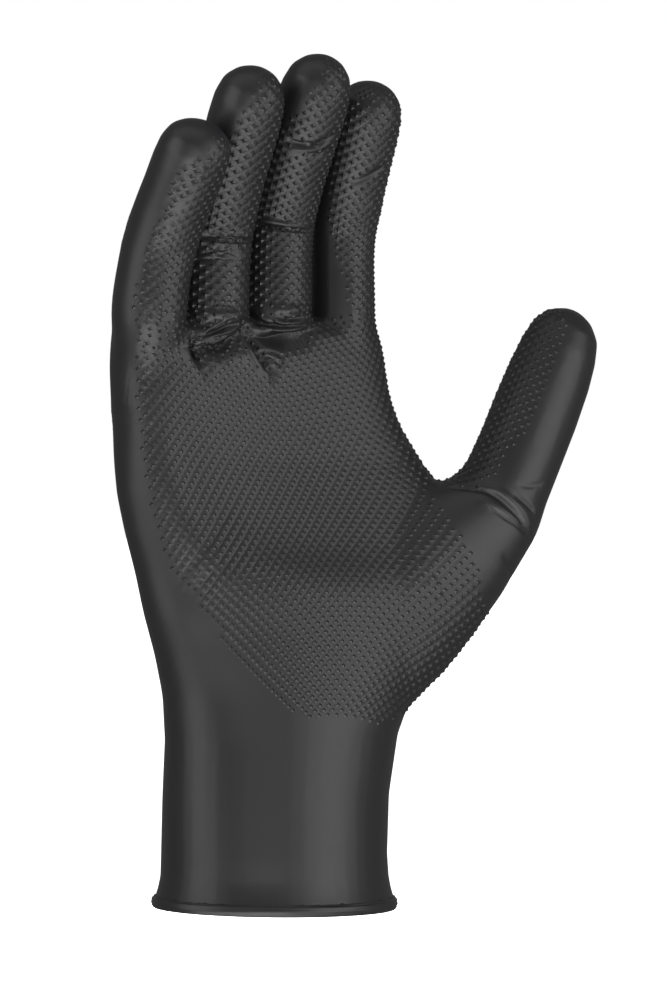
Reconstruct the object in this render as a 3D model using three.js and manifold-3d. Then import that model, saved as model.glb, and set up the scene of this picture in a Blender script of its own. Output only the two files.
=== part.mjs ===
// A disposable nitrile glove for the right hand, one dipped film with a rolled bead round its opening. It keeps
// the form that it has when it is worn: the palm looks along -Y, the fingers point up, the thumb is at +X, and
// the origin is the middle of the opening. Every length is in millimetres, and every angle in degrees.

import * as THREE from 'three';
import Module from 'manifold-3d';

// Film and bead
const filmWall = 1.0;
const beadHeight = 3.4;
const beadThickness = 2.4;
const cuffFlare = 1.4;
const cuffFlareHeight = 9;

// Cuff and palm
const cuffLength = 61;
const cuffBreadth = 69;
const cuffDepth = 51;
const palmLength = 106;
const palmBreadth = 92;
const palmThickness = 31;
const palmHollow = 7;

// Fingers
const fingerLength = 81;
const fingerBreadth = 20.6;
const fingerDepth = 19.4;
const fingerRoot = 30;

// Thumb, from its fork with the palm to its tip
const thumbLength = 66;
const thumbBreadth = 25.5;
const thumbDepth = 22.5;
const thumbLean = 24;
const thumbBend = 4;
const thumbJoint = 0.5;

// Folds of the slack film on the palm side of the joints
const foldDepth = 1.6;
const foldWidth = 2.6;

// Sides of the sections
const outerSides = { body: 48, digit: 24 };
const innerSides = { body: 32, digit: 12 };
const beadSides = 8;

// Where the rings of a round fingertip lie, as angles up from its widest section
const tipAngles = [30, 55, 75, 86];

// How many of the palm's upper sections close it between the fingers
const domeSections = 2;

// Sections of the cuff, upwards as a share of cuffLength, and of the palm, upwards as a share of palmLength.
// centre and half run across, as shares of cuffBreadth or palmBreadth. front is the depth towards the palm side,
// at the little finger's edge and at the thumb's edge, and back the depth behind, as shares of cuffDepth or
// palmThickness. hollow is the share of palmHollow that the middle of the palm lies back.
const cuffSections = [
  { up: 0, centre: 0, half: 0.5, frontLittle: 0.5, frontThumb: 0.5,
    back: 0.5, hollow: 0, square: 2 },
  { up: 0.25, centre: -0.002, half: 0.495, frontLittle: 0.5, frontThumb: 0.5,
    back: 0.5, hollow: 0, square: 2 },
  { up: 0.52, centre: 0.006, half: 0.5, frontLittle: 0.48, frontThumb: 0.48,
    back: 0.48, hollow: 0, square: 2 },
  { up: 0.8, centre: 0.034, half: 0.52, frontLittle: 0.46, frontThumb: 0.46,
    back: 0.46, hollow: 0, square: 2 },
];
// How the cuff flares towards the opening: up as a share of cuffFlareHeight, out as a share of cuffFlare
const flareSteps = [
  { up: 0, out: 1 },
  { up: 0.5, out: 0.25 },
  { up: 1, out: 0 },
];
const palmSections = [
  { up: 0.0, centre: 0.048, half: 0.424, frontLittle: 0.74, frontThumb: 0.76,
    back: 0.7, hollow: 0.05, square: 2.05 },
  { up: 0.11, centre: 0.08, half: 0.488, frontLittle: 0.74, frontThumb: 0.8,
    back: 0.63, hollow: 0.2, square: 2.1 },
  { up: 0.22, centre: 0.098, half: 0.548, frontLittle: 0.74, frontThumb: 0.84,
    back: 0.57, hollow: 0.45, square: 2.1 },
  { up: 0.33, centre: 0.1, half: 0.582, frontLittle: 0.73, frontThumb: 0.84,
    back: 0.52, hollow: 0.7, square: 2.1 },
  { up: 0.44, centre: 0.074, half: 0.594, frontLittle: 0.71, frontThumb: 0.78,
    back: 0.48, hollow: 0.9, square: 2.1 },
  { up: 0.54, centre: 0.026, half: 0.572, frontLittle: 0.69, frontThumb: 0.68,
    back: 0.46, hollow: 1.0, square: 2.15 },
  { up: 0.63, centre: -0.02, half: 0.535, frontLittle: 0.67, frontThumb: 0.58,
    back: 0.45, hollow: 1.0, square: 2.2 },
  { up: 0.73, centre: -0.062, half: 0.496, frontLittle: 0.67, frontThumb: 0.52,
    back: 0.43, hollow: 1.0, square: 2.3 },
  { up: 0.83, centre: -0.084, half: 0.484, frontLittle: 0.7, frontThumb: 0.48,
    back: 0.4, hollow: 1.0, square: 2.4 },
  { up: 0.91, centre: -0.092, half: 0.48, frontLittle: 0.72, frontThumb: 0.45,
    back: 0.35, hollow: 0.95, square: 2.4 },
  { up: 0.97, centre: -0.088, half: 0.47, frontLittle: 0.62, frontThumb: 0.4,
    back: 0.29, hollow: 0.75, square: 2.4 },
  { up: 1.01, centre: -0.094, half: 0.43, frontLittle: 0.33, frontThumb: 0.25,
    back: 0.17, hollow: 0.3, square: 2.4 },
];

// The four fingers. across is a share of palmBreadth, forward a share of palmThickness, web the height of the
// finger's fork above the palm as a share of palmLength. length, breadth and depth are shares of the finger
// sizes. splay leans the finger towards the thumb, and bends are its turns towards the palm side at the
// knuckle, the middle joint and the end joint.
const fingers = [
  { name: 'little', across: -0.489, forward: 0.27, web: 0.0, length: 0.73, breadth: 1.02, depth: 0.98,
    splay: 4.8, bends: [10, 22, 3] },
  { name: 'ring', across: -0.25, forward: 0.14, web: 0.015, length: 0.905, breadth: 1.0, depth: 1.0,
    splay: 0.5, bends: [8, 20, 2] },
  { name: 'middle', across: -0.019, forward: 0.08, web: 0.02, length: 0.965, breadth: 1.0, depth: 1.0,
    splay: 1.3, bends: [4, 25, 2] },
  { name: 'index', across: 0.236, forward: 0.0, web: 0.015, length: 0.88, breadth: 1.0, depth: 1.0,
    splay: -0.8, bends: [3, 21, 4] },
];

// Where a finger's middle and end joints lie, as shares of its length from the web
const fingerJoints = [0.37, 0.7];

// The hidden root of a finger in the palm: gather draws it towards the middle of the palm, as a share of how
// far out the finger stands, and breadth and depth are shares of the finger's sizes.
const fingerRootSection = { gather: 0.14, breadth: 0.75, depth: 0.55 };

// Sections of a finger, along as a share of its length from the web. breadth and depth are shares of its sizes.
const fingerSections = [
  { along: 0.0, breadth: 1.0, depth: 1.02 },
  { along: 0.08, breadth: 1.0, depth: 1.02 },
  { along: 0.2, breadth: 0.98, depth: 0.99 },
  { along: 0.31, breadth: 0.98, depth: 0.98 },
  { along: 0.43, breadth: 1.0, depth: 0.99 },
  { along: 0.55, breadth: 0.99, depth: 0.97 },
  { along: 0.66, breadth: 0.99, depth: 0.96 },
  { along: 0.78, breadth: 1.0, depth: 0.97 },
  { along: 0.87, breadth: 0.97, depth: 0.94 },
];

// Folds across the palm side of the fingers and thumb, along as a share of the digit's length, depth as a share
// of foldDepth. A fold with a negative depth is a roll that stands out.
const folds = [
  { on: 'ring', along: 0.015, depth: -1.1 },
  { on: 'ring', along: 0.3, depth: 0.8 },
  { on: 'ring', along: 0.37, depth: 0.6 },
  { on: 'middle', along: 0.02, depth: -1.1 },
  { on: 'middle', along: 0.37, depth: 1.0 },
  { on: 'middle', along: 0.68, depth: 0.5 },
  { on: 'index', along: 0.36, depth: 0.3 },
  { on: 'little', along: 0.36, depth: 0.3 },
  { on: 'thumb', along: 0.03, depth: 0.6 },
];

// The ball of the thumb, from the wrist to the fork with the palm: across as a share of palmBreadth, up as a
// share of palmLength, forward as a share of palmThickness, and breadth and depth as shares of the thumb's sizes.
const ballSections = [
  { across: 0.2, up: -0.06, forward: 0.02, breadth: 1.3, depth: 1.2 },
  { across: 0.262, up: 0.08, forward: 0.1, breadth: 1.78, depth: 1.42 },
  { across: 0.355, up: 0.205, forward: 0.15, breadth: 2.02, depth: 1.48 },
  { across: 0.477, up: 0.31, forward: 0.2, breadth: 1.94, depth: 1.42 },
  { across: 0.61, up: 0.4, forward: 0.27, breadth: 1.62, depth: 1.26 },
  { across: 0.728, up: 0.495, forward: 0.33, breadth: 1.24, depth: 1.1 },
];
const thumbSections = [
  { along: 0.14, breadth: 1.07, depth: 1.03 },
  { along: 0.32, breadth: 1.05, depth: 1.0 },
  { along: 0.5, breadth: 1.05, depth: 0.98 },
  { along: 0.68, breadth: 1.01, depth: 0.95 },
  { along: 0.8, breadth: 0.94, depth: 0.91 },
];

const { degToRad, lerp } = THREE.MathUtils;
const upwards = new THREE.Vector3(0, 0, 1);
const towardsPalm = new THREE.Vector3(0, -1, 0);
const wasm = await Module();
wasm.setup();

function solidFrom(points, triangles) {
  const vertProperties = new Float32Array(points.flatMap((p) => [p.x, p.y, p.z]));
  return new wasm.Manifold(new wasm.Mesh({ numProp: 3, vertProperties, triVerts: new Uint32Array(triangles) }));
}

// Two triangles for each place between neighbouring rings of the same number of sides
function bandTriangles(first, second, sides) {
  const triangles = [];
  for (let side = 0; side < sides; side++) {
    const next = (side + 1) % sides;
    triangles.push(first + side, first + next, second + next, first + side, second + next, second + side);
  }
  return triangles;
}

// A closed skin through rings of points, counter-clockwise seen from the last ring, with a fan at each end
function skinThrough(rings) {
  const sides = rings[0].length;
  const points = rings.flat();
  const triangles = [];
  for (let ring = 1; ring < rings.length; ring++) {
    triangles.push(...bandTriangles((ring - 1) * sides, ring * sides, sides));
  }
  const middleOf = (ring) => ring.reduce((sum, point) => sum.add(point), new THREE.Vector3())
    .divideScalar(sides);
  const lastRing = (rings.length - 1) * sides;
  points.push(middleOf(rings[0]), middleOf(rings[rings.length - 1]));
  for (let side = 0; side < sides; side++) {
    const next = (side + 1) % sides;
    triangles.push(points.length - 2, next, side);
    triangles.push(points.length - 1, lastRing + side, lastRing + next);
  }
  return solidFrom(points, triangles);
}

// Cosine or sine drawn towards the corners of a box, for the squarer sections of a palm
const squared = (value, square) => Math.sign(value) * Math.abs(value) ** (2 / square);

// One level section of the cuff or palm, grown by flare and shrunk by inset
function bodyRing(section, breadth, depth, height, inset, flare) {
  const sides = (inset > 0 ? innerSides : outerSides).body;
  const grow = flare - inset;
  return Array.from({ length: sides }, (_, side) => {
    const angle = 2 * Math.PI * side / sides;
    const across = squared(Math.cos(angle), section.square);
    const deep = squared(Math.sin(angle), section.square);
    const front = lerp(section.frontLittle, section.frontThumb, (1 + across) / 2) * depth + grow;
    const back = section.back * depth + grow;
    const hollow = section.hollow * palmHollow * Math.max(0, -deep) * (1 - across * across);
    return new THREE.Vector3(section.centre * breadth + (section.half * breadth + grow) * across,
      deep * (deep < 0 ? front : back) + hollow, height);
  });
}

// The cuff and palm as one skin. The inner one starts below the opening, so that it cuts through, and ends
// below the outer one between the fingers.
function bodySolid(inset) {
  const opening = cuffSections[0];
  const flared = flareSteps.map(({ up, out }) => ({ height: up * cuffFlareHeight, flare: out * cuffFlare }));
  if (inset > 0) {
    flared.unshift({ height: -inset, flare: cuffFlare });
  }
  const rings = flared.map(({ height, flare }) =>
    bodyRing(opening, cuffBreadth, cuffDepth, height, inset, flare));
  for (const section of cuffSections.slice(1)) {
    rings.push(bodyRing(section, cuffBreadth, cuffDepth, section.up * cuffLength, inset, 0));
  }
  palmSections.forEach((section, i) => {
    const lowered = i < palmSections.length - domeSections ? 0 : inset;
    const height = cuffLength + section.up * palmLength - lowered;
    rings.push(bodyRing(section, palmBreadth, palmThickness, height, inset, 0));
  });
  return skinThrough(rings);
}

// A section of a digit square to its spine. A dent draws it in on the palm side.
function digitRing(spine, share, halfBreadth, halfDepth, dent, sides) {
  const middle = spine.getPointAt(share);
  const along = spine.getTangentAt(share);
  const front = towardsPalm.clone().addScaledVector(along, -towardsPalm.dot(along)).normalize();
  const across = new THREE.Vector3().crossVectors(along, front);
  return Array.from({ length: sides }, (_, side) => {
    const angle = 2 * Math.PI * side / sides;
    const deep = halfDepth - dent * Math.max(0, Math.sin(angle)) ** 2;
    return middle.clone()
      .addScaledVector(across, -halfBreadth * Math.cos(angle))
      .addScaledVector(front, deep * Math.sin(angle));
  });
}

// The breadth and depth between two neighbouring sections of a digit
function sizeAt(sections, along) {
  const next = sections.findIndex((section) => section.along > along);
  if (next < 1) {
    return sections[next < 0 ? sections.length - 1 : 0];
  }
  const below = sections[next - 1];
  const above = sections[next];
  const share = (along - below.along) / (above.along - below.along);
  return { breadth: lerp(below.breadth, above.breadth, share), depth: lerp(below.depth, above.depth, share) };
}

// A digit's skin: sections along its spine, its own folds between them, and a round tip. along is 0 where the
// digit leaves the palm, 1 at its tip and negative in its root.
function digitSolid(name, points, length, sections, breadth, depth, inset) {
  const spine = new THREE.CatmullRomCurve3(points, false, 'centripetal');
  const whole = spine.getLength();
  const own = folds.filter((fold) => fold.on === name);
  const fold = foldWidth / 2 / length;
  const foldPlaces = own.flatMap(({ along }) => [along - fold, along, along + fold]);
  const plainPlaces = sections.map(({ along }) => along)
    .filter((along) => foldPlaces.every((place) => Math.abs(place - along) > fold / 2));
  const places = [...plainPlaces, ...foldPlaces].sort((a, b) => a - b);
  const tipFrom = sections[sections.length - 1].along;
  const tip = 1 - tipFrom - inset / length;
  const rings = places.map((along) => ({ along, round: 1 }));
  rings.push(...tipAngles.map(degToRad)
    .map((angle) => ({ along: tipFrom + tip * Math.sin(angle), round: Math.cos(angle) })));
  const sides = (inset > 0 ? innerSides : outerSides).digit;
  return skinThrough(rings.map(({ along, round }) => {
    const size = sizeAt(sections, along);
    const dent = own.find((one) => one.along === along)?.depth ?? 0;
    return digitRing(spine, Math.max(0, 1 + (along - 1) * length / whole),
      (size.breadth * breadth / 2 - inset) * round, (size.depth * depth / 2 - inset) * round,
      dent * foldDepth, sides);
  }));
}

// A finger, from its hidden root in the palm over three straight lengths that bend towards the palm side
function fingerSolid(finger, inset) {
  const length = finger.length * fingerLength;
  const web = new THREE.Vector3(finger.across * palmBreadth, -finger.forward * palmThickness,
    cuffLength + (1 + finger.web) * palmLength);
  const root = new THREE.Vector3(web.x * (1 - fingerRootSection.gather), 0, web.z - fingerRoot);
  const points = [root, web];
  const ends = [...fingerJoints, 1];
  let bend = 0;
  ends.forEach((end, i) => {
    bend += finger.bends[i];
    const direction = new THREE.Vector3(Math.sin(degToRad(finger.splay)), -Math.sin(degToRad(bend)),
      Math.cos(degToRad(bend))).normalize();
    const reach = (end - (ends[i - 1] ?? 0)) * length;
    points.push(points[points.length - 1].clone().addScaledVector(direction, reach));
  });
  const sections = [{ ...fingerRootSection, along: -fingerRoot / length }, ...fingerSections];
  return digitSolid(finger.name, points, length, sections, finger.breadth * fingerBreadth,
    finger.depth * fingerDepth, inset);
}

// The ball of the thumb and the thumb as one skin
function thumbSolid(inset) {
  const points = ballSections.map((section) => new THREE.Vector3(section.across * palmBreadth,
    -section.forward * palmThickness, cuffLength + section.up * palmLength));
  const toFork = ballSections.map((_, i) => points.slice(i + 1)
    .reduce((sum, point, step) => sum + point.distanceTo(points[i + step]), 0));
  const sections = ballSections.map((section, i) => ({ ...section, along: -toFork[i] / thumbLength }));
  for (const [share, lean] of [[thumbJoint, thumbLean + thumbBend], [1 - thumbJoint, thumbLean]]) {
    const direction = new THREE.Vector3(Math.sin(degToRad(lean)), 0, Math.cos(degToRad(lean)));
    points.push(points[points.length - 1].clone().addScaledVector(direction, share * thumbLength));
  }
  sections.push(...thumbSections);
  return digitSolid('thumb', points, thumbLength, sections, thumbBreadth, thumbDepth, inset);
}

// The film's edge, rolled outwards round the opening
function beadSolid() {
  const outside = cuffFlare + beadThickness / 2 - filmWall;
  const middle = bodyRing(cuffSections[0], cuffBreadth, cuffDepth, 0, 0, outside);
  const rings = middle.map((point) => {
    const outwards = new THREE.Vector3(point.x / cuffBreadth ** 2, point.y / cuffDepth ** 2, 0).normalize();
    return Array.from({ length: beadSides }, (_, side) => {
      const angle = 2 * Math.PI * side / beadSides;
      return point.clone().addScaledVector(outwards, beadThickness / 2 * Math.cos(angle))
        .addScaledVector(upwards, beadHeight / 2 * (1 - Math.sin(angle)));
    });
  });
  const triangles = rings.flatMap((_, i) =>
    bandTriangles(i * beadSides, (i + 1) % rings.length * beadSides, beadSides));
  return solidFrom(rings.flat(), triangles);
}

// The whole hand's form at one distance inside the outer skin
function handForm(inset) {
  const digits = fingers.map((finger) => fingerSolid(finger, inset));
  return digits.reduce((form, digit) => form.add(digit), bodySolid(inset).add(thumbSolid(inset)));
}

function meshOf(solid, name, material) {
  const { vertProperties, triVerts } = solid.getMesh();
  const geometry = new THREE.BufferGeometry();
  geometry.setAttribute('position', new THREE.BufferAttribute(vertProperties, 3));
  geometry.setIndex(new THREE.BufferAttribute(triVerts, 1));
  geometry.computeVertexNormals();
  const mesh = new THREE.Mesh(geometry, material);
  mesh.name = name;
  return mesh;
}

const dippedNitrile = new THREE.MeshStandardMaterial({ color: 0x3b3b3c, roughness: 0.5, metalness: 0 });
const film = handForm(0).subtract(handForm(filmWall)).add(beadSolid());

const glove = new THREE.Group();
glove.add(meshOf(film, 'glove', dippedNitrile));

export default glove;
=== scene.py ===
"""A disposable nitrile glove for the right hand, in the form that it has when it is worn.

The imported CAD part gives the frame: the palm looks along -Y, the fingers point up, the thumb is at +X, and the
origin is the middle of the cuff's opening. Lengths are in metres, written as millimetres times MM.
"""

import math

import bpy
import numpy as np
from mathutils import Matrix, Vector
from mathutils.bvhtree import BVHTree
from mathutils.kdtree import KDTree


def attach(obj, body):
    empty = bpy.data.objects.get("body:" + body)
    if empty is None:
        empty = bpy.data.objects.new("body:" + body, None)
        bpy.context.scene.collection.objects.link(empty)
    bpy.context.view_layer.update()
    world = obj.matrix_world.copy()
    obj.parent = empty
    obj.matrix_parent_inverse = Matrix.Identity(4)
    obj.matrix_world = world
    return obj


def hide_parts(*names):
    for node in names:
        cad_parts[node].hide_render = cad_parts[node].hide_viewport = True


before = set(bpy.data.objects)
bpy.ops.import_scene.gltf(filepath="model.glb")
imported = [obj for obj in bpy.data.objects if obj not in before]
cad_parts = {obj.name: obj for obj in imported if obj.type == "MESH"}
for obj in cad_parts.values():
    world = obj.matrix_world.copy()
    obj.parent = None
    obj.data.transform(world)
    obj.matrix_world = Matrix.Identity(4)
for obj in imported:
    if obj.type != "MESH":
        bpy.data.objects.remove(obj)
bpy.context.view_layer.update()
MM = 0.001

# The place that the glove is looked at from
# The fold lines and the edge of the grip were read off the picture, so the picture's own view comes first. It
# looks level at the palm from the little finger's side.
PICTURE_WIDE = 667
PICTURE_HIGH = 1000
PICTURE_PIXEL = 0.287 * MM
VIEW_DISTANCE = 1000 * MM
VIEW_TURN = math.radians(-30)
VIEW_ACROSS = 16.7 * MM
VIEW_HEIGHT = 116.5 * MM
SENSOR_WIDTH = 36
view_forward = Vector((-math.sin(VIEW_TURN), math.cos(VIEW_TURN), 0))
view_right = Vector((math.cos(VIEW_TURN), math.sin(VIEW_TURN), 0))
view_up = Vector((0, 0, 1))
view_place = -VIEW_DISTANCE * view_forward + VIEW_ACROSS * view_right + VIEW_HEIGHT * view_up

bpy.ops.object.select_all(action="DESELECT")
bpy.ops.object.camera_add(location=view_place, rotation=(math.pi / 2, 0, VIEW_TURN))
camera = bpy.context.object
camera.data.sensor_width = SENSOR_WIDTH
camera.data.lens = SENSOR_WIDTH * VIEW_DISTANCE / PICTURE_PIXEL / PICTURE_HIGH
bpy.context.scene.camera = camera


def picture_ray(x, y):
    """The direction from the view's place through one pixel of the picture."""
    across = float(x - PICTURE_WIDE / 2) * PICTURE_PIXEL
    upward = float(PICTURE_HIGH / 2 - y) * PICTURE_PIXEL
    return (VIEW_DISTANCE * view_forward + across * view_right + upward * view_up).normalized()


def picture_points(points):
    """The pixels of the picture where points of the glove are seen."""
    away = points - np.array(view_place)
    depth = away @ np.array(view_forward) / VIEW_DISTANCE * PICTURE_PIXEL
    x = PICTURE_WIDE / 2 + away @ np.array(view_right) / depth
    y = PICTURE_HIGH / 2 - away @ np.array(view_up) / depth
    return np.stack([x, y], axis=1)


# The film
# One coat of black nitrile, dipped on a form and peeled off, so it has no seam. It is stretched smooth over
# the back, the ball of the thumb and the fingertips, and its slack gathers in folds under the fingers' joints.
FILM_WALL = 1.0 * MM
FILM_GRID = 0.6 * MM
FILM_LOWEST = 3.0 * MM
FIRST_CUT = 4.5 * MM
FILM_SKIRT = 8 * MM
SAME_PLACE = 0.001 * MM


def activate(piece):
    bpy.ops.object.select_all(action="DESELECT")
    piece.select_set(True)
    bpy.context.view_layer.objects.active = piece


def modify(piece, kind, **settings):
    """Adds one modifier with its settings and applies it."""
    activate(piece)
    modifier = piece.modifiers.new(kind.lower(), kind)
    for name, value in settings.items():
        setattr(modifier, name, value)
    bpy.ops.object.modifier_apply(modifier=modifier.name)


def points_of(piece):
    flat = np.empty(len(piece.data.vertices) * 3)
    piece.data.vertices.foreach_get("co", flat)
    return flat.reshape(-1, 3)


def normals_of(piece):
    flat = np.empty(len(piece.data.vertices) * 3)
    piece.data.vertex_normals.foreach_get("vector", flat)
    return flat.reshape(-1, 3)


def place_points(piece, points):
    piece.data.vertices.foreach_set("co", points.ravel())
    piece.data.update()


def skin_of(piece):
    """A search tree of the piece's faces, for rays and nearest points."""
    return BVHTree.FromObject(piece, bpy.context.evaluated_depsgraph_get())


# The outer skin of the solid, without the bead and the inner wall
film = bpy.data.objects.new("nitrile_film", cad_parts["glove"].data.copy())
bpy.context.collection.objects.link(film)
film.data.materials.clear()
activate(film)
bpy.ops.object.mode_set(mode="EDIT")
bpy.ops.mesh.select_all(action="SELECT")
bpy.ops.mesh.remove_doubles(threshold=SAME_PLACE)
bpy.ops.mesh.select_all(action="SELECT")
bpy.ops.mesh.bisect(plane_co=(0, 0, FIRST_CUT), plane_no=(0, 0, 1), clear_inner=True)
bpy.ops.mesh.separate(type="LOOSE")
bpy.ops.object.mode_set(mode="OBJECT")
walls = sorted(bpy.context.selected_objects, key=lambda wall: wall.dimensions.x)
film = walls.pop()
film.name = "nitrile_film"
for wall in walls:
    bpy.data.objects.remove(wall)

# A skirt below the edge keeps the edge straight while the skin is smoothed
activate(film)
bpy.ops.object.mode_set(mode="EDIT")
bpy.ops.mesh.select_all(action="DESELECT")
bpy.ops.mesh.select_mode(type="EDGE")
bpy.ops.mesh.select_non_manifold()
bpy.ops.mesh.extrude_region_move(TRANSFORM_OT_translate={"value": (0, 0, -FILM_SKIRT)})
bpy.ops.mesh.edge_face_add()
bpy.ops.object.mode_set(mode="OBJECT")
modify(film, "REMESH", mode="VOXEL", voxel_size=FILM_GRID, use_smooth_shade=True)

# Smoothing takes the flats of the solid's sides away. Where a digit grows out of the palm, more of it draws
# the film tight across the join. low and high bound each such place in millimetres, times is how often it is
# smoothed, and swell gives back what that draws in.
SMOOTH_FACTOR = 0.5
SMOOTH_ALL = 24
SWELL_ALL = 0.18 * MM
TIGHT_FADE = 8
DRAWN_TIGHT = [
    {"on": "palm and ball of the thumb", "low": (-70, -60, 52), "high": (75, 60, 158), "times": 90, "swell": 0},
    {"on": "little finger's outer side", "low": (-70, -60, 136), "high": (-43, 60, 196), "times": 450,
     "swell": 0.9},
    {"on": "index finger's outer side", "low": (20, -60, 138), "high": (60, 60, 200), "times": 500, "swell": 0},
    {"on": "back of the knuckles", "low": (-70, 0, 142), "high": (60, 60, 198), "times": 420, "swell": 0},
]
modify(film, "SMOOTH", factor=SMOOTH_FACTOR, iterations=SMOOTH_ALL)
for area in DRAWN_TIGHT:
    places = points_of(film) / MM
    depth_in = np.minimum(places - np.array(area["low"]), np.array(area["high"]) - places).min(axis=1)
    weight = np.round(np.clip(depth_in / TIGHT_FADE, 0, 1), 1)
    group = film.vertex_groups.new(name="tight")
    for level in np.unique(weight):
        group.add(np.flatnonzero(weight == level).tolist(), float(level), "REPLACE")
    modify(film, "SMOOTH", factor=SMOOTH_FACTOR, iterations=area["times"], vertex_group="tight")
    film.vertex_groups.clear()
    place_points(film, points_of(film) + area["swell"] * MM * weight[:, None] * normals_of(film))
place_points(film, points_of(film) + SWELL_ALL * normals_of(film))

# Folds, each along a line of pixels in the picture. width is how far its sides reach and rise how far it stands
# out, or lies in where it is below zero, both in millimetres. sharp is the width on one side of the line only,
# where the film turns over a lip.
FOLDS = [
    {"on": "ring joint", "width": 0.8, "rise": -0.9,
     "line": [(204, 236), (215, 236), (230, 238), (245, 241), (252, 240)]},
    {"on": "ring joint", "width": 0.45, "rise": 0.5,
     "line": [(206, 240), (213, 243), (219, 243), (225, 245), (233, 245), (239, 250)]},
    {"on": "ring joint", "width": 0.45, "rise": -0.6,
     "line": [(202, 244), (211, 248), (220, 250), (229, 249), (237, 253)]},
    {"on": "ring joint", "width": 0.45, "rise": -0.5,
     "line": [(201, 254), (211, 252), (222, 255), (230, 253), (239, 257)]},
    {"on": "ring joint", "width": 0.4, "rise": -0.35,
     "line": [(201, 259), (216, 259), (229, 260), (240, 259)]},
    {"on": "middle joint", "width": 0.6, "rise": -1.2,
     "line": [(255, 223), (270, 226), (290, 229), (309, 231)]},
    {"on": "middle joint", "width": 1.1, "rise": 0.5,
     "line": [(256, 220), (272, 222), (290, 225), (309, 226)]},
    {"on": "middle end joint", "width": 0.8, "rise": -0.9,
     "line": [(288, 140), (300, 144), (313, 145), (325, 141), (336, 134)]},
    {"on": "middle end joint", "width": 0.9, "rise": 0.6,
     "line": [(290, 149), (303, 150), (316, 149), (328, 145)]},
    {"on": "ring root", "width": 0.6, "rise": 0.7,
     "line": [(203, 335), (211, 327), (219, 322), (227, 318), (233, 317), (240, 321)]},
    {"on": "ring root", "width": 0.7, "rise": -1.2,
     "line": [(201, 336), (208, 334), (217, 331), (227, 326), (236, 324)]},
    {"on": "ring root", "width": 0.6, "rise": 1.0,
     "line": [(204, 338), (211, 337), (218, 334), (229, 331), (241, 323)]},
    {"on": "ring root", "width": 0.5, "rise": 0.5,
     "line": [(209, 340), (215, 341), (222, 338), (232, 333)]},
    {"on": "middle root", "width": 1.0, "rise": -1.4,
     "line": [(247, 313), (253, 318), (260, 323), (268, 325), (276, 324)]},
    {"on": "middle root", "width": 0.55, "rise": 0.8,
     "line": [(275, 313), (275, 319), (281, 322), (291, 323), (303, 323)]},
    {"on": "middle root", "width": 0.5, "rise": -0.9,
     "line": [(272, 325), (283, 326), (295, 325), (304, 325)]},
    {"on": "middle root", "width": 0.5, "rise": -0.6,
     "line": [(279, 317), (288, 319), (298, 318), (305, 316)]},
    {"on": "middle root", "width": 0.6, "rise": 0.9,
     "line": [(256, 321), (264, 327), (273, 330), (284, 330), (296, 329), (306, 326)]},
    {"on": "lip of the ring root", "width": 1.6, "rise": 0.7,
     "line": [(202, 334), (211, 332), (222, 328), (232, 324), (242, 318)]},
    {"on": "lip of the middle root", "width": 1.6, "rise": 0.7,
     "line": [(252, 314), (261, 320), (271, 324), (284, 325), (305, 322)]},
    {"on": "hollow under the ring root", "width": 3.4, "rise": -2.9, "sharp": 0.4,
     "line": [(197, 345), (208, 344), (217, 345), (226, 341), (236, 335), (245, 327)]},
    {"on": "hollow under the middle root", "width": 3.8, "rise": -3.2, "sharp": 0.4,
     "line": [(246, 322), (254, 328), (263, 332), (274, 334), (288, 334), (308, 330)]},
    {"on": "hole between ring and middle roots", "width": 2.6, "rise": -3.8, "sharp": 0.35,
     "line": [(266, 369), (261, 360), (256, 352), (252, 343), (247, 335), (245, 327)]},
    {"on": "fold beside the hole", "width": 1.0, "rise": 0.5,
     "line": [(262, 371), (256, 361), (250, 350), (246, 341), (243, 330)]},
    {"on": "hollow beside the ring root", "width": 2.6, "rise": -2.8, "sharp": 0.4,
     "line": [(201, 370), (197, 359), (194, 349), (193, 340)]},
    {"on": "hollow beside the ring root", "width": 0.7, "rise": 0.6,
     "line": [(193, 349), (199, 353), (204, 358), (208, 365)]},
    {"on": "little finger and palm", "width": 1.0, "rise": -1.2,
     "line": [(192, 334), (194, 347), (197, 362)]},
    {"on": "pleat from the hole", "width": 0.6, "rise": -0.6,
     "line": [(262, 351), (272, 352), (286, 358)]},
    {"on": "pleat from the hole", "width": 0.6, "rise": -0.6,
     "line": [(263, 355), (272, 358), (283, 366)]},
    {"on": "pleat from the hole", "width": 0.6, "rise": -0.6,
     "line": [(265, 359), (271, 365), (277, 375)]},
    {"on": "pleat from the hole", "width": 0.6, "rise": -0.5,
     "line": [(266, 364), (270, 372), (273, 382)]},
    {"on": "pleat from the hollow", "width": 0.9, "rise": -0.6,
     "line": [(199, 345), (206, 358), (211, 372)]},
    {"on": "thumb root", "width": 0.9, "rise": -1.1,
     "line": [(445, 487), (470, 488), (488, 492), (503, 501), (518, 516), (532, 538)]},
    {"on": "thumb root", "width": 1.6, "rise": 0.8,
     "line": [(482, 489), (497, 491), (512, 502), (524, 513), (533, 528)]},
    {"on": "thumb root", "width": 0.8, "rise": -0.8,
     "line": [(489, 506), (505, 517), (520, 527), (532, 541)]},
    {"on": "thumb root", "width": 1.4, "rise": 0.6,
     "line": [(478, 499), (495, 507), (512, 518), (528, 530)]},
    {"on": "thumb root", "width": 0.8, "rise": -0.6,
     "line": [(516, 496), (526, 504), (534, 512)]},
    {"on": "thumb root", "width": 0.9, "rise": -0.4,
     "line": [(521, 485), (531, 486), (542, 484)]},
    {"on": "ball of the thumb", "width": 1.2, "rise": -0.35,
     "line": [(504, 556), (509, 566), (511, 578)]},
    {"on": "index end joint", "width": 1.0, "rise": -0.5,
     "line": [(349, 184), (364, 179), (376, 172), (386, 165)]},
]
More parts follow.
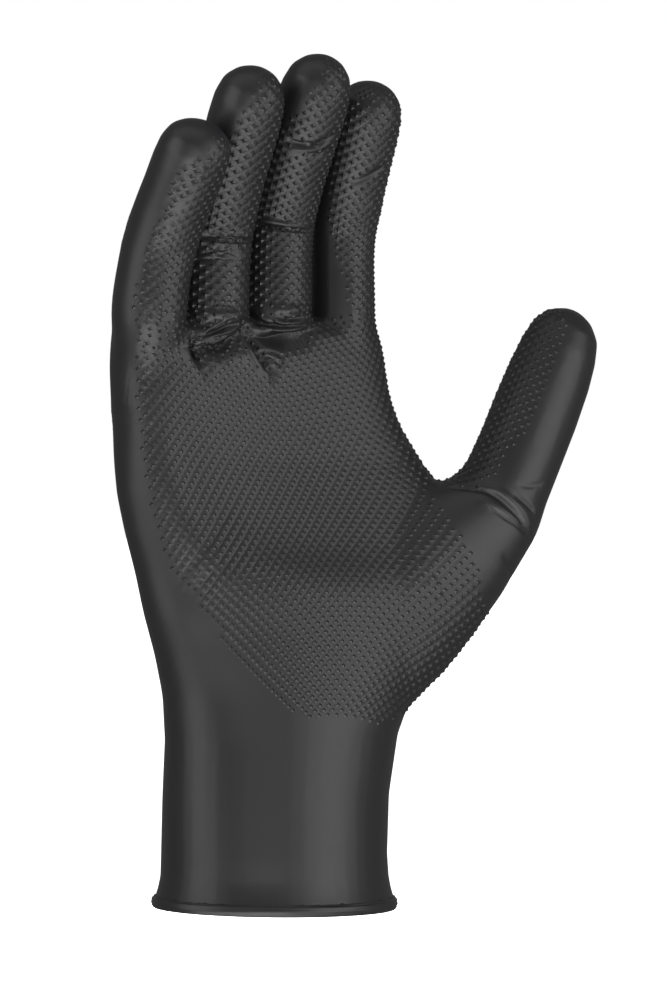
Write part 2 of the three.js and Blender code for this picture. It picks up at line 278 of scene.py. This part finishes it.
# The heel of the palm and the ball of the little finger stand out further than the solid's
SWELLINGS = [
    {"on": "heel of the palm", "width": 10, "rise": 2.2,
     "line": [(205, 545), (250, 576), (300, 590), (350, 594), (400, 590), (438, 568)]},
    {"on": "ball of the little finger", "width": 6, "rise": 1.5,
     "line": [(148, 380), (152, 430), (162, 480), (182, 530), (215, 575)]},
]
FOLD_STEP = 0.4 * MM
FOLD_STEPS_IN_WIDTH = 4
FOLD_TAPER = 0.5
FOLD_REACH = 3
FINE_REACH = 1.8


def curve_through(corners):
    """Points along a smooth line through the corners, close enough together to drape on the skin."""
    corners = np.array(corners, float)
    ends = np.vstack([2 * corners[0] - corners[1], corners, 2 * corners[-1] - corners[-2]])
    line = []
    for before, start, stop, after in zip(ends, ends[1:], ends[2:], ends[3:]):
        count = max(2, int(np.linalg.norm(stop - start) * PICTURE_PIXEL / FOLD_STEP))
        for t in np.arange(count) / count:
            line.append(0.5 * (2 * start + (stop - before) * t
                               + (2 * before - 5 * start + 4 * stop - after) * t ** 2
                               + (3 * start - before - 3 * stop + after) * t ** 3))
    return np.array(line + [corners[-1]])


def draped(line):
    """Where the skin lies under a line of the picture, and which way it faces there."""
    hits = [smooth_skin.ray_cast(view_place, picture_ray(x, y)) for x, y in line]
    hits = [hit for hit in hits if hit[0] is not None]
    return np.array([hit[0] for hit in hits]), np.array([hit[1] for hit in hits])


def raise_along(piece, folds, lines):
    """Lifts the skin along lines that are draped on it, or sinks it, and fades that out on both sides."""
    skin_points = points_of(piece)
    skin_normals = normals_of(piece)
    lift = np.zeros(len(skin_points))
    for fold, (path, facing) in zip(folds, lines):
        reach = fold["width"] * MM * FOLD_REACH
        every = max(1, int(fold["width"] * MM / FOLD_STEPS_IN_WIDTH / FOLD_STEP))
        path, facing = path[::every], facing[::every]
        along = np.gradient(path, axis=0)
        near = np.flatnonzero(np.all((skin_points > path.min(0) - reach) & (skin_points < path.max(0) + reach),
                                     axis=1))
        apart = np.linalg.norm(skin_points[near, None] - path[None], axis=2)
        closest = apart.argmin(1)
        same_side = (skin_normals[near] * facing[closest]).sum(1) > 0
        taper = np.sin(np.pi * (closest + 0.5) / len(path)) ** FOLD_TAPER
        left = ((skin_points[near] - path[closest]) * np.cross(facing[closest], along[closest])).sum(1) > 0
        width = np.where(left, fold.get("sharp", fold["width"]), fold["width"]) * MM
        shape = np.exp(-(apart.min(1) / width) ** 2)
        lift[near] += fold["rise"] * MM * shape * taper * same_side
    place_points(piece, skin_points + lift[:, None] * skin_normals)


def near_folds(places, reaches, most=math.inf):
    """Which places lie within so many widths of a fold, and not further from it than most."""
    near = np.zeros(len(places), bool)
    for fold, path in zip(FOLDS, fold_paths):
        reach = min(fold["width"] * MM * reaches, most)
        box = np.flatnonzero(np.all((places > path.min(0) - reach) & (places < path.max(0) + reach), axis=1))
        near[box] |= np.linalg.norm(places[box, None] - path[None], axis=2).min(1) < reach
    return near


def select_faces(piece, chosen):
    """Selects the faces that are chosen, and nothing else, and starts editing."""
    activate(piece)
    bpy.ops.object.mode_set(mode="EDIT")
    bpy.ops.mesh.select_mode(type="FACE")
    bpy.ops.mesh.select_all(action="DESELECT")
    bpy.ops.object.mode_set(mode="OBJECT")
    piece.data.polygons.foreach_set("select", chosen)
    bpy.ops.object.mode_set(mode="EDIT")


def centres_of(piece):
    flat = np.empty(len(piece.data.polygons) * 3)
    piece.data.polygons.foreach_get("center", flat)
    return flat.reshape(-1, 3)


def normals_of_faces(piece):
    flat = np.empty(len(piece.data.polygons) * 3)
    piece.data.polygons.foreach_get("normal", flat)
    return flat.reshape(-1, 3)


smooth_skin = skin_of(film)
raise_along(film, SWELLINGS, [draped(curve_through(swelling["line"])) for swelling in SWELLINGS])

# The skin is twice as fine where the folds lie
smooth_skin = skin_of(film)
fold_lines = [draped(curve_through(fold["line"])) for fold in FOLDS]
fold_paths = [path for path, _ in fold_lines]
select_faces(film, near_folds(centres_of(film), FINE_REACH))
bpy.ops.mesh.subdivide(number_cuts=1, smoothness=0)
bpy.ops.object.mode_set(mode="OBJECT")
raise_along(film, FOLDS, fold_lines)

# The skin is thinned where it is plain: most on the cuff and the back, less on the palm side, not in folds
BACK_SHARE = 0.15
FRONT_SHARE = 0.42
CUFF_UP_TO = 50 * MM
BACK_FACING = 0.3
for on_back, share in ((True, BACK_SHARE), (False, FRONT_SHARE)):
    middles = centres_of(film)
    plain = (middles[:, 2] < CUFF_UP_TO) | (normals_of_faces(film)[:, 1] > BACK_FACING)
    select_faces(film, (plain == on_back) & ~near_folds(middles, FINE_REACH))
    bpy.ops.mesh.decimate(ratio=share)
    bpy.ops.object.mode_set(mode="OBJECT")
activate(film)
bpy.ops.object.mode_set(mode="EDIT")
bpy.ops.mesh.select_all(action="SELECT")
bpy.ops.mesh.bisect(plane_co=(0, 0, FILM_LOWEST), plane_no=(0, 0, 1), clear_inner=True)
bpy.ops.object.mode_set(mode="OBJECT")
outer_skin = skin_of(film)

# The inner wall, joined to the skin at the cuff's edge. Its own edge keeps its height when it moves inwards.
LINING_SHARE = 0.09
LINING_EDGE = FILM_LOWEST + 0.1 * MM
lining = film.copy()
lining.data = film.data.copy()
bpy.context.collection.objects.link(lining)
modify(lining, "DECIMATE", ratio=LINING_SHARE)
lining_points = points_of(lining)
inwards = FILM_WALL * normals_of(lining)
inwards[lining_points[:, 2] < LINING_EDGE, 2] = 0
place_points(lining, lining_points - inwards)
activate(lining)
bpy.ops.object.mode_set(mode="EDIT")
bpy.ops.mesh.select_all(action="SELECT")
bpy.ops.mesh.flip_normals()
bpy.ops.object.mode_set(mode="OBJECT")

film.select_set(True)
bpy.context.view_layer.objects.active = film
bpy.ops.object.join()
bpy.ops.object.mode_set(mode="EDIT")
bpy.ops.mesh.select_all(action="DESELECT")
bpy.ops.mesh.select_mode(type="EDGE")
bpy.ops.mesh.select_non_manifold(extend=False, use_wire=False, use_multi_face=False, use_non_contiguous=False)
bpy.ops.mesh.bridge_edge_loops()
bpy.ops.object.mode_set(mode="OBJECT")
bpy.ops.object.shade_smooth()

# The bead
# The film's edge, rolled up on itself by brushes before the film is cured. The roll is looser at places, so its
# turns show as fine lines that run along it.
BEAD_HIGH = 3.4 * MM
BEAD_THICK = 1.9 * MM
BEAD_HALF_BREADTH = 36.35 * MM
BEAD_HALF_DEPTH = 27.35 * MM
BEAD_SIDES = 28
BEAD_STEPS = 220
# Each line lies at an angle round the roll and is so many degrees wide. deep is a share of the roll's radius.
BEAD_TURNS = [
    {"at": 62, "deep": 0.42, "wide": 9},
    {"at": 14, "deep": 0.22, "wide": 7},
    {"at": -28, "deep": 0.16, "wide": 7},
]
BEAD_WANDER = 9

bpy.ops.object.select_all(action="DESELECT")
bpy.ops.mesh.primitive_torus_add(major_segments=BEAD_STEPS, minor_segments=BEAD_SIDES, major_radius=1,
                                 minor_radius=0.1)
bead = bpy.context.object
bead.name = "rolled_bead"
ring = points_of(bead)
round_angle = np.arctan2(ring[:, 1], ring[:, 0])
roll_angle = np.arctan2(ring[:, 2], np.hypot(ring[:, 0], ring[:, 1]) - 1)
middle = np.stack([BEAD_HALF_BREADTH * np.cos(round_angle), BEAD_HALF_DEPTH * np.sin(round_angle)], axis=1)
outwards = np.stack([np.cos(round_angle) / BEAD_HALF_BREADTH, np.sin(round_angle) / BEAD_HALF_DEPTH], axis=1)
outwards /= np.linalg.norm(outwards, axis=1)[:, None]
full = np.ones(len(ring))
for order, turn in enumerate(BEAD_TURNS):
    waves = order + 2
    drift = turn["at"] + BEAD_WANDER * np.sin(round_angle * waves + order)
    off = np.degrees(roll_angle) - drift
    full -= turn["deep"] * np.exp(-(off / turn["wide"]) ** 2)
across = BEAD_THICK / 2 * np.cos(roll_angle) * full
upward = BEAD_HIGH / 2 * (1 + np.sin(roll_angle) * full)
place_points(bead, np.column_stack([middle + across[:, None] * outwards, upward]))
activate(bead)
bpy.ops.object.shade_smooth()

# The cuff isn't quite level when it is worn: its edge hangs lower on the thumb's side. The film flares out to
# meet the bead's outer side. RIM_TILT is the drop for each unit of length towards the thumb.
RIM_DROP = 0.45 * MM
RIM_TILT = 0.036
RIM_REACH = 40 * MM
FLARE_FROM = 10 * MM
FLARE_OUT = 1.2 * MM
for piece in (film, bead):
    places = points_of(piece)
    if piece == film:
        flare = FLARE_OUT * np.clip((FLARE_FROM - places[:, 2]) / (FLARE_FROM - FILM_LOWEST), 0, 1) ** 2
        outwards = places[:, :2] / (BEAD_HALF_BREADTH, BEAD_HALF_DEPTH)
        outwards /= np.linalg.norm(outwards, axis=1)[:, None]
        places[:, :2] += flare[:, None] * outwards
    hang = np.clip(1 - places[:, 2] / RIM_REACH, 0, 1) ** 2
    places[:, 2] -= hang * (RIM_DROP + RIM_TILT * places[:, 0])
    place_points(piece, places)

# The grip
# Small raised points in a diamond net, moulded by the form's own surface on the palm side of the hand and
# fingers. Slack film crowds them together and stretched film draws them apart.
POINT_HIGH = 0.46 * MM
POINT_CLEAR = 1.3 * MM
POINTS_EACH_WAY = 30
FAN_STEP = 3
FAN_REACH = 120
FOLD_BARE = 0.8
FOLD_BARE_MOST = 1.0 * MM
TIP_RADIUS = 9.5 * MM
EDGE_HIGH = 0.4
EDGE_ROWS = 1.2
LINE_BLUR = 4
# The edge of the grip in the picture, round the palm and round the thumb
PALM_EDGE = [(100, 290), (135, 300), (135, 405), (143, 458), (153, 521), (170, 567), (208, 616), (225, 646),
             (249, 676), (272, 697), (298, 715), (328, 731), (345, 734), (367, 729), (385, 723), (407, 713),
             (500, 640), (484, 598), (477, 564), (466, 538), (445, 512), (432, 494), (445, 480), (400, 290)]
THUMB_EDGE = [(400, 500), (477, 489), (495, 477), (508, 454), (524, 436), (539, 402), (550, 379), (560, 353),
              (568, 332), (563, 313), (540, 300), (400, 290)]
# The smooth patch under the middle finger's root, and the smooth outer side of the little finger
ROOT_BARE = [(249, 326), (308, 326), (309, 346), (296, 350), (276, 352), (262, 350), (254, 342)]
LITTLE_BARE = [(60, 60), (190, 90), (188, 140), (177, 172), (165, 205), (153, 232), (141, 262), (129, 300),
               (122, 340), (118, 380), (60, 380)]
# Each part of the glove that carries the grip has a line inside it, which rows of points ring like the ribs of
# a fan. high is in units of POINT_HIGH, and steps are the distances from point to point in a row and from row
# to row. turn is the direction of the fan's middle round that line, from the palm side towards the thumb, and
# ends are the shares of the line that carry rows. Each reach gives, for a share of the line, how far the row
# goes to the left and to the right of the middle in degrees, and by how much of itself the step grows with each
# point on the thumb's side. spread opens the rows towards their ends, level rows don't turn with the line,
# over_tip counts the rows that lean over its end, and edge bounds the grip in the picture.
GRIP = [
    {"on": "little finger", "high": 0.85, "steps": (3.1, 1.55), "turn": 0, "ends": (0.03, 0.93), "over_tip": 4,
     "spread": 0, "level": False, "edge": None,
     "line": [(-45.0, -8.4, 167.0), (-43.2, -12.2, 188.5), (-41.5, -22.5, 205.0), (-40.1, -32.6, 219.4)],
     "reach": [(0.0, -62, 80, 0), (0.35, -46, 80, 0), (0.6, -18, 75, 0), (0.75, 0, 65, 0), (1.0, 14, 55, 0)]},
    {"on": "ring finger", "high": 1.15, "steps": (3.5, 1.62), "turn": 0, "ends": (0.03, 0.95), "over_tip": 6,
     "spread": 0, "level": False, "edge": None,
     "line": [(-23.0, -4.3, 168.6), (-22.8, -8.1, 195.4), (-22.6, -19.5, 216.8), (-22.4, -30.5, 235.9)],
     "reach": [(0.0, -100, 80, 0), (0.55, -95, 80, 0), (0.68, -55, 75, 0), (0.85, -35, 70, 0),
               (1.0, -20, 60, 0)]},
    {"on": "middle finger", "high": 1.1, "steps": (3.1, 1.52), "turn": 0, "ends": (0.03, 0.96), "over_tip": 7,
     "spread": 0, "level": False, "edge": None,
     "line": [(-1.7, -2.5, 169.1), (-1.1, -4.5, 198.0), (-0.5, -17.0, 220.5), (0.0, -29.1, 240.6)],
     "reach": [(0.0, -100, 80, 0), (0.65, -95, 80, 0), (0.8, -50, 75, 0), (1.0, -30, 60, 0)]},
    {"on": "index finger", "high": 1.0, "steps": (3.1, 1.55), "turn": 0, "ends": (0.03, 0.96), "over_tip": 7,
     "spread": 0, "level": False, "edge": None,
     "line": [(21.7, 0.0, 168.6), (21.3, -1.4, 194.9), (21.0, -10.9, 216.4), (20.7, -21.0, 235.3)],
     "reach": [(0.0, -10, 95, 0), (0.3, -45, 90, 0), (0.6, -75, 85, 0), (1.0, -75, 70, 0)]},
    {"on": "thumb", "high": 1.05, "steps": (3.0, 1.5), "turn": -25, "ends": (0.0, 0.95), "over_tip": 6,
     "spread": 0, "level": False, "edge": THUMB_EDGE,
     "line": [(67.0, -10.2, 113.5), (82.5, -10.2, 142.6), (95.9, -10.2, 172.8)],
     "reach": [(0.0, -85, 25, 0), (1.0, -85, 30, 0)]},
    {"on": "palm", "high": 1.0, "steps": (2.85, 1.4), "turn": 0, "ends": (0.0, 1.0), "over_tip": 0,
     "spread": 0.5, "level": True, "edge": PALM_EDGE,
     "line": [(4.0, 0, 56.0), (9.0, 0, 84.0), (7.0, 0, 108.0), (-2.0, 0, 128.0), (-7.5, 0, 149.0),
              (-8.5, 0, 170.0)],
     "reach": [(0.0, -100, 100, 0.02), (0.6, -100, 100, 0.015), (0.8, -100, 100, 0),
               (1.0, -100, 100, -0.01)]},
]


def inside(points, edge):
    """Which of the points lie within the closed edge."""
    within = np.zeros(len(points), bool)
    for (x0, y0), (x1, y1) in zip(edge, edge[1:] + edge[:1]):
        if y0 == y1:
            continue
        crosses = (points[:, 1] < y0) != (points[:, 1] < y1)
        within ^= crosses & (points[:, 0] < x0 + (points[:, 1] - y0) / (y1 - y0) * (x1 - x0))
    return within


def spaced(line, step):
    """Places and directions at equal steps along a line through a few corners, and each one's share of it."""
    corners = np.array(line, float) * MM
    lengths = np.concatenate([[0], np.cumsum(np.linalg.norm(np.diff(corners, axis=0), axis=1))])
    far = np.arange(0, lengths[-1], step)
    places = np.stack([np.interp(far, lengths, corners[:, axis]) for axis in range(3)], axis=1)
    blur = np.ones(2 * LINE_BLUR + 1) / (2 * LINE_BLUR + 1)
    padded = np.pad(places, ((LINE_BLUR, LINE_BLUR), (0, 0)), mode="reflect", reflect_type="odd")
    places = np.stack([np.convolve(padded[:, axis], blur, mode="valid") for axis in range(3)], axis=1)
    return places, np.gradient(places, axis=0), far / lengths[-1]


def rib_points(place, along, turn, spread, lean):
    """Where a rib of the fan meets the skin: the angles, the places and how far along the skin each lies."""
    along = along / np.linalg.norm(along)
    front = np.array([0, -1, 0]) + along[1] * along
    front /= np.linalg.norm(front)
    side = np.cross(front, along)
    angles = []
    hits = []
    for angle in range(-FAN_REACH, FAN_REACH + 1, FAN_STEP):
        bearing = math.radians(angle + turn)
        ray = front * math.cos(bearing) - side * math.sin(bearing) + along * spread * math.sin(bearing) ** 2
        ray = ray + along * math.tan(lean) * abs(math.cos(bearing))
        hit = outer_skin.ray_cast(Vector(place), Vector(ray))
        if hit[0] is not None:
            angles.append(angle)
            hits.append(hit[0])
    hits = np.array(hits)
    run = np.concatenate([[0], np.cumsum(np.linalg.norm(np.diff(hits, axis=0), axis=1))])
    return np.array(angles), hits, run - np.interp(0, angles, run)


# One point of the grip: the middle stands up, and a ridge runs out from it to each of its four neighbours,
# with a pit between one ridge and the next.
PIT = 0.02 * MM
RIDGE = 0.07 * MM
SHOULDER = 0.12 * MM
SHOULDER_REACH = 0.5
STAR_SPOKES = 8
CONE_MIDDLE = 0.5
bpy.ops.object.select_all(action="DESELECT")
bpy.ops.mesh.primitive_cone_add(vertices=STAR_SPOKES, radius1=1, radius2=0, depth=1,
                                location=(0, 0, CONE_MIDDLE))
grip_point = bpy.context.object
bpy.ops.object.mode_set(mode="EDIT")
bpy.ops.mesh.select_all(action="SELECT")
bpy.ops.mesh.bisect(plane_co=(0, 0, 1 - SHOULDER_REACH), plane_no=(0, 0, 1))
bpy.ops.object.mode_set(mode="OBJECT")
star = points_of(grip_point) + (0, 0, CONE_MIDDLE)
star_faces = [list(face.vertices) for face in grip_point.data.polygons]
bpy.data.objects.remove(grip_point)
spokes = np.round(np.arctan2(star[:, 1], star[:, 0]) * STAR_SPOKES / (2 * math.pi)).astype(int)
on_ridge = spokes % 2 == 1
lowest = star[:, 2] < (1 - SHOULDER_REACH) / 2
highest = star[:, 2] > 1 - SHOULDER_REACH / 2
# A ridge ends half-way to the neighbour, at half a step each way, and a pit lies a whole step away
star[:, :2] *= np.where(on_ridge, math.sqrt(0.5), 1)[:, None]
star[:, 2] = np.where(lowest, np.where(on_ridge, RIDGE, PIT), np.where(highest, POINT_HIGH, SHOULDER))

grip_places = []
grip_across = []
grip_normals = []
grip_steps = []
grip_highs = []
for part in GRIP:
    step_across, step_along = (step * MM for step in part["steps"])
    places, directions, shares = spaced(part["line"], step_along)
    stops, lefts, rights, grows = zip(*part["reach"])
    own = []
    rows = [(place, along, share, 0) for place, along, share in zip(places, directions, shares)
            if part["ends"][0] <= share <= part["ends"][1]]
    # Over the tip the rows lean further and further from the line's last place
    last_place, last_along, _, _ = rows[-1]
    for over in range(1, part["over_tip"] + 1):
        rows.append((last_place, last_along, 1.0, over * step_along / TIP_RADIUS))
    for row, (place, along, share, lean) in enumerate(rows):
        if part["level"]:
            along = np.array([0, 0, 1])
        spread = part["spread"] * (share - 0.5)
        angles, hits, run = rib_points(place, along, part["turn"], spread, lean)
        low = np.interp(np.interp(share, stops, lefts), angles, run)
        high = np.interp(np.interp(share, stops, rights), angles, run)
        grow = np.interp(share, stops, grows)
        for step in np.arange(-POINTS_EACH_WAY, POINTS_EACH_WAY + 1) + 0.5 * (row % 2):
            marks = [step_across * at * (1 + grow * max(0, at)) for at in (step - 0.5, step, step + 0.5)]
            if not low <= marks[1] <= high:
                continue
            before, spot, after = (Vector(np.interp(mark, run, hits[:, axis]) for axis in range(3))
                                   for mark in marks)
            on_skin, facing, _, _ = outer_skin.find_nearest(spot)
            from_edge = min(marks[1] - low, high - marks[1]) / step_across
            own.append((on_skin, facing, (after - before).normalized(), (marks[2] - marks[0], step_along),
                        part["high"] * min(1, EDGE_HIGH + from_edge / EDGE_ROWS)))
    spots = np.array([found[0] for found in own])
    seen = picture_points(spots)
    keep = ~near_folds(spots, FOLD_BARE, FOLD_BARE_MOST)
    for bare in (ROOT_BARE, LITTLE_BARE):
        keep &= ~inside(seen, bare)
    if part["edge"]:
        keep &= inside(seen, part["edge"])
    placed = len(grip_places)
    neighbours = KDTree(placed + 1)
    for order, spot in enumerate(grip_places):
        neighbours.insert(spot, order)
    neighbours.balance()
    for kept, (spot, facing, across_way, steps, high) in zip(keep, own):
        crowded = placed > 0 and neighbours.find(spot)[2] < POINT_CLEAR
        if kept and not crowded:
            grip_places.append(spot)
            grip_normals.append(facing)
            grip_across.append(across_way)
            grip_steps.append(steps)
            grip_highs.append(high)

centres = np.array(grip_places)
facings = np.array(grip_normals)
acrosses = np.array(grip_across)
steps = np.array(grip_steps)
acrosses -= (acrosses * facings).sum(1)[:, None] * facings
acrosses /= np.linalg.norm(acrosses, axis=1)[:, None]
alongs = np.cross(facings, acrosses)
flat_stars = (centres[:, None]
              + star[None, :, :1] * steps[:, :1, None] / 2 * acrosses[:, None]
              + star[None, :, 1:2] * steps[:, 1:, None] * alongs[:, None]).reshape(-1, 3)

# The outermost points stand by themselves, with hardly a ridge round them
NEIGHBOUR_REACH = 0.95
NEIGHBOURS_INSIDE = 4
LONE_BASE = 0.25
everyone = KDTree(len(centres))
for order, spot in enumerate(centres):
    everyone.insert(spot, order)
everyone.balance()
around = np.array([len(everyone.find_range(spot, NEIGHBOUR_REACH * max(pair)))
                   for spot, pair in zip(centres, steps)])
base_high = np.where(around > NEIGHBOURS_INSIDE, 1, LONE_BASE)
heights = np.array(grip_highs)[:, None] * star[None, :, 2] * np.where(highest, 1, base_high[:, None])
copies = []
for spot, height in zip(flat_stars, heights.ravel()):
    on_skin, facing, _, _ = outer_skin.find_nearest(Vector(spot))
    copies.append(on_skin + float(height) * facing)
offsets = np.arange(len(centres)) * len(star)
faces = [[corner + offset for corner in face] for offset in offsets.tolist() for face in star_faces]
grip_mesh = bpy.data.meshes.new("grip_points")
grip_mesh.from_pydata(copies, [], faces)
grip_points = bpy.data.objects.new("grip_points", grip_mesh)
bpy.context.collection.objects.link(grip_points)

# Dipped nitrile
# Black nitrile rubber, dipped and chlorinated so that it slides on: a soft satin sheen, a little mottled where
# the film is thicker.
NITRILE_COLOUR = "2b2b2d"
NITRILE_IOR = 1.52
SMOOTHEST = 0.36
ROUGHEST = 0.44
MOTTLE_SIZE = 3.0 * MM
MOTTLE_DEEP = 0.3 * MM
MOTTLE_STRENGTH = 0.12


def linear(hex_colour):
    """An sRGB hex colour as the linear values that a shader takes."""
    channels = [int(hex_colour[i:i + 2], 16) / 255 for i in (0, 2, 4)]
    return [c / 12.92 if c <= 0.04045 else ((c + 0.055) / 1.055) ** 2.4 for c in channels] + [1.0]


def add_node(material, kind, inputs=None, **settings):
    """Adds one shader node, sets its settings and gives each named input a value or a link."""
    node = material.node_tree.nodes.new(kind)
    for name, value in settings.items():
        setattr(node, name, value)
    for name, value in (inputs or {}).items():
        if isinstance(value, bpy.types.NodeSocket):
            material.node_tree.links.new(value, node.inputs[name])
        else:
            node.inputs[name].default_value = value
    return node


dipped_nitrile = bpy.data.materials.new("dipped_nitrile")
dipped_nitrile.use_nodes = True
dipped_nitrile.node_tree.nodes.clear()
place_on_glove = add_node(dipped_nitrile, "ShaderNodeTexCoord").outputs["Object"]
mottle = add_node(dipped_nitrile, "ShaderNodeTexNoise", {"Vector": place_on_glove, "Scale": 1 / MOTTLE_SIZE,
                                                         "Detail": 3.0, "Roughness": 0.6})
roughness = add_node(dipped_nitrile, "ShaderNodeMapRange",
                     {"Value": mottle.outputs["Fac"], "To Min": SMOOTHEST, "To Max": ROUGHEST})
fine = add_node(dipped_nitrile, "ShaderNodeBump",
                {"Height": mottle.outputs["Fac"], "Strength": MOTTLE_STRENGTH, "Distance": MOTTLE_DEEP})
nitrile_shader = add_node(dipped_nitrile, "ShaderNodeBsdfPrincipled",
                          {"Base Color": linear(NITRILE_COLOUR), "Roughness": roughness.outputs["Result"],
                           "Normal": fine.outputs["Normal"], "IOR": NITRILE_IOR})
add_node(dipped_nitrile, "ShaderNodeOutputMaterial", {"Surface": nitrile_shader.outputs["BSDF"]})

for piece in (film, bead, grip_points):
    piece.data.materials.clear()
    piece.data.materials.append(dipped_nitrile)
    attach(piece, "root")
    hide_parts("glove")

# The studio
# A plain pale floor that runs on into a pale room, and wide soft lights round the glove: in front of it, below
# it, at both sides and behind it. The weakest is above it.
FLOOR_HEIGHT = -140 * MM
FLOOR_SIZE = 40.0
FLOOR_GLOW = 1.3
bpy.ops.object.select_all(action="DESELECT")
bpy.ops.mesh.primitive_plane_add(size=FLOOR_SIZE, location=(0, 0, FLOOR_HEIGHT))
floor = bpy.context.object
floor.name = "floor"
pale_paper = bpy.data.materials.new("pale_paper")
pale_paper.use_nodes = True
pale_paper.node_tree.nodes.clear()
paper_shader = add_node(pale_paper, "ShaderNodeBsdfPrincipled",
                        {"Base Color": linear("f6f6f6"), "Roughness": 0.9, "Specular IOR Level": 0.0,
                         "Emission Color": linear("ffffff"), "Emission Strength": FLOOR_GLOW})
add_node(pale_paper, "ShaderNodeOutputMaterial", {"Surface": paper_shader.outputs["BSDF"]})
floor.data.materials.append(pale_paper)
floor.visible_glossy = False
floor.visible_diffuse = False

# turn and rise say where a light stands, in degrees from the camera. wide and high are its size in metres, and
# glow is how bright its face is.
LIGHTS = [
    {"name": "front_softbox", "turn": 14, "rise": -4, "wide": 0.8, "high": 0.7, "glow": 0.75},
    {"name": "key_softbox", "turn": 8, "rise": -38, "wide": 1.0, "high": 0.6, "glow": 3.2},
    {"name": "low_softbox", "turn": 0, "rise": -68, "wide": 1.7, "high": 0.6, "glow": 2.5},
    {"name": "left_softbox", "turn": -50, "rise": 4, "wide": 0.8, "high": 1.3, "glow": 1.6},
    {"name": "right_softbox", "turn": 66, "rise": -4, "wide": 0.8, "high": 1.2, "glow": 2.2},
    {"name": "top_softbox", "turn": -10, "rise": 66, "wide": 1.8, "high": 0.8, "glow": 0.5},
]
# A wide soft light behind lets the back be seen too. It makes no highlights.
BACK_LIGHT = {"name": "back_softbox", "turn": 180, "rise": 15, "wide": 1.6, "high": 1.4, "glow": 2.6}
LIGHT_AWAY = 1.1
glove_middle = VIEW_ACROSS * view_right + VIEW_HEIGHT * view_up
for light in LIGHTS + [BACK_LIGHT]:
    turn = VIEW_TURN + math.radians(light["turn"])
    rise = math.radians(light["rise"])
    towards = Vector((math.sin(turn) * math.cos(rise), -math.cos(turn) * math.cos(rise), math.sin(rise)))
    bpy.ops.object.light_add(type="AREA", location=glove_middle + LIGHT_AWAY * towards,
                             rotation=towards.to_track_quat("Z", "Y").to_euler())
    lamp = bpy.context.object
    lamp.name = light["name"]
    lamp.data.shape = "RECTANGLE"
    lamp.data.size = light["wide"]
    lamp.data.size_y = light["high"]
    lamp.visible_glossy = light != BACK_LIGHT
    lamp.data.energy = light["glow"] * math.pi * light["wide"] * light["high"]

# The room is white where the camera sees it, and lights the glove only a little
ROOM_LIGHT = 0.15
surroundings = bpy.data.worlds.new("studio")
surroundings.use_nodes = True
surroundings.node_tree.nodes.clear()
seen = add_node(surroundings, "ShaderNodeLightPath").outputs["Is Camera Ray"]
brightness = add_node(surroundings, "ShaderNodeMapRange",
                      {"Value": seen, "To Min": ROOM_LIGHT, "To Max": 1.0})
background = add_node(surroundings, "ShaderNodeBackground",
                      {"Color": linear("ffffff"), "Strength": brightness.outputs["Result"]})
add_node(surroundings, "ShaderNodeOutputWorld", {"Surface": background.outputs["Background"]})
bpy.context.scene.world = surroundings
bpy.context.scene.view_settings.view_transform = "Standard"
